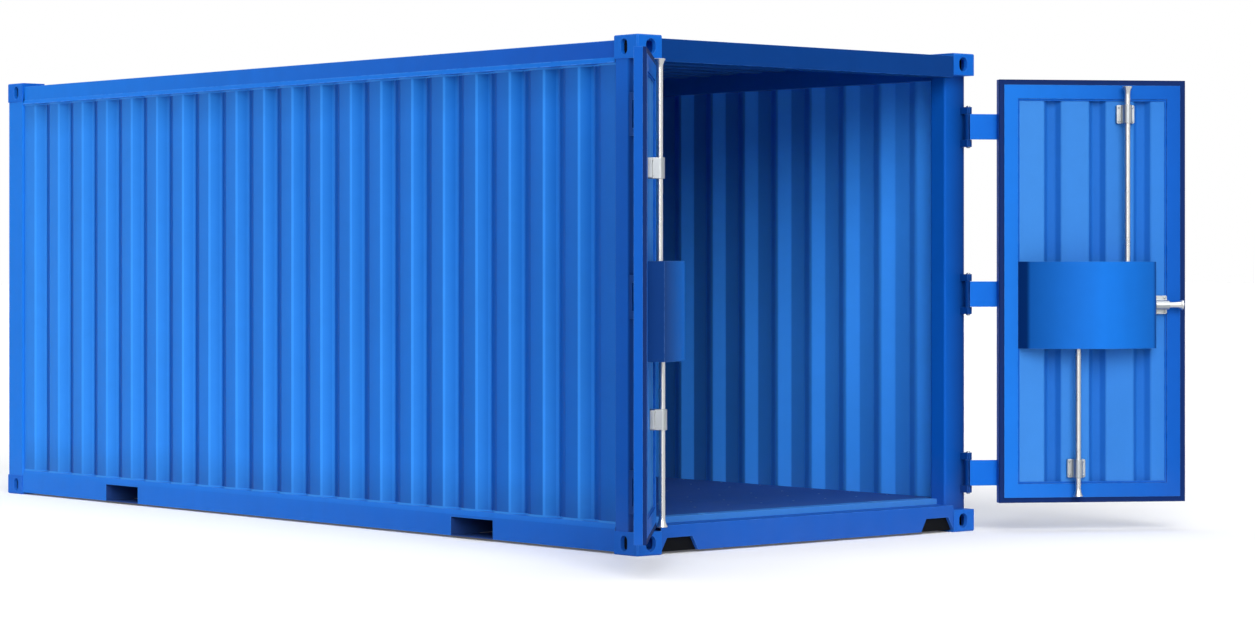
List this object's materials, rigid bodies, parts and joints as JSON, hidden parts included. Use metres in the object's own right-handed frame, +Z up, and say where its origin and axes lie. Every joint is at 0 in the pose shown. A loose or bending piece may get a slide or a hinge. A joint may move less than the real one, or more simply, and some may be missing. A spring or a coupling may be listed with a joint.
{
  "type": "shipping container",
  "caption": "Steel freight container with corrugated walls, slotted corner castings, fork pockets and hinged end doors with sliding bolts on the inside",
  "frame": {"origin": "On the ground, in the middle of the four bottom castings", "axes": "X along the container with the doors at +X, Y across with the right door at +Y, Z up"},
  "size_m": [6.9571, 4.1638, 2.591],
  "materials": {
    "blue_paint": "satin blue paint",
    "floor_paint": "blue deck paint on board",
    "bright_steel": "bright zinc plate",
    "gasket_rubber": "matt dark blue rubber"
  },
  "bodies": {
    "container": {"bottom_castings": "blue_paint", "bottom_rail_left": "blue_paint", "bottom_rail_right": "blue_paint", "cross_members": "blue_paint", "door_header": "blue_paint", "door_post_left": "blue_paint", "door_post_right": "blue_paint", "door_sill": "blue_paint", "floor_panels": "floor_paint", "fork_pockets": "blue_paint", "front_header": "blue_paint", "front_post_left": "blue_paint", "front_post_right": "blue_paint", "front_sill": "blue_paint", "front_wall": "blue_paint", "hinge_lugs_left": "blue_paint", "hinge_lugs_right": "blue_paint", "left_wall": "blue_paint", "right_wall": "blue_paint", "roof": "blue_paint", "threshold": "blue_paint", "top_castings": "blue_paint", "top_rail_left": "blue_paint", "top_rail_right": "blue_paint"},
    "left_door": {"left_door_frame": "blue_paint", "left_door_gasket": "gasket_rubber", "left_door_handle": "blue_paint", "left_door_hinges": "blue_paint", "left_door_panel": "blue_paint", "left_lock_box": "blue_paint", "left_rod_guides": "bright_steel"},
    "right_door": {"right_door_frame": "blue_paint", "right_door_gasket": "gasket_rubber", "right_door_handle": "blue_paint", "right_door_hinges": "blue_paint", "right_door_panel": "blue_paint", "right_lock_box": "blue_paint", "right_rod_guides": "bright_steel"},
    "left_bottom_rod": {"left_bottom_rod": "bright_steel"},
    "left_top_rod": {"left_top_rod": "bright_steel"},
    "right_bottom_rod": {"right_bottom_rod": "bright_steel"},
    "right_side_bolt": {"right_side_bolt": "bright_steel"},
    "right_top_rod": {"right_top_rod": "bright_steel"}
  },
  "joints": [
    {"name": "left_door_swing", "type": "hinge", "parent": "container", "child": "left_door", "pos_m": [3.004, -1.195, 1.3], "axis": [0, 0, -1], "range_deg": [-134, 136]},
    {"name": "right_door_swing", "type": "hinge", "parent": "container", "child": "right_door", "pos_m": [3.004, 1.195, 1.3], "axis": [0, 0, 1], "range_deg": [-147, 123]},
    {"name": "left_lock", "type": "slide", "parent": "left_door", "child": "left_top_rod", "axis": [0, 0, -1], "range_m": [-0.07, 0]},
    {"name": "left_bottom_slide", "type": "slide", "parent": "left_door", "child": "left_bottom_rod", "axis": [0, 0, 1], "range_m": [-0.07, 0]},
    {"name": "right_lock", "type": "slide", "parent": "right_door", "child": "right_top_rod", "axis": [0, 0, -1], "range_m": [-0.07, 0]},
    {"name": "right_bottom_slide", "type": "slide", "parent": "right_door", "child": "right_bottom_rod", "axis": [0, 0, 1], "range_m": [-0.07, 0]},
    {"name": "right_side_slide", "type": "slide", "parent": "right_door", "child": "right_side_bolt", "axis": [-0.5446, -0.8387, 0], "range_m": [-0.07, 0]}
  ],
  "couplings": [
    {"joint": "left_bottom_slide", "follows": "left_lock", "ratio": 1},
    {"joint": "right_bottom_slide", "follows": "right_lock", "ratio": 1},
    {"joint": "right_side_slide", "follows": "right_lock", "ratio": 1}
  ]
}
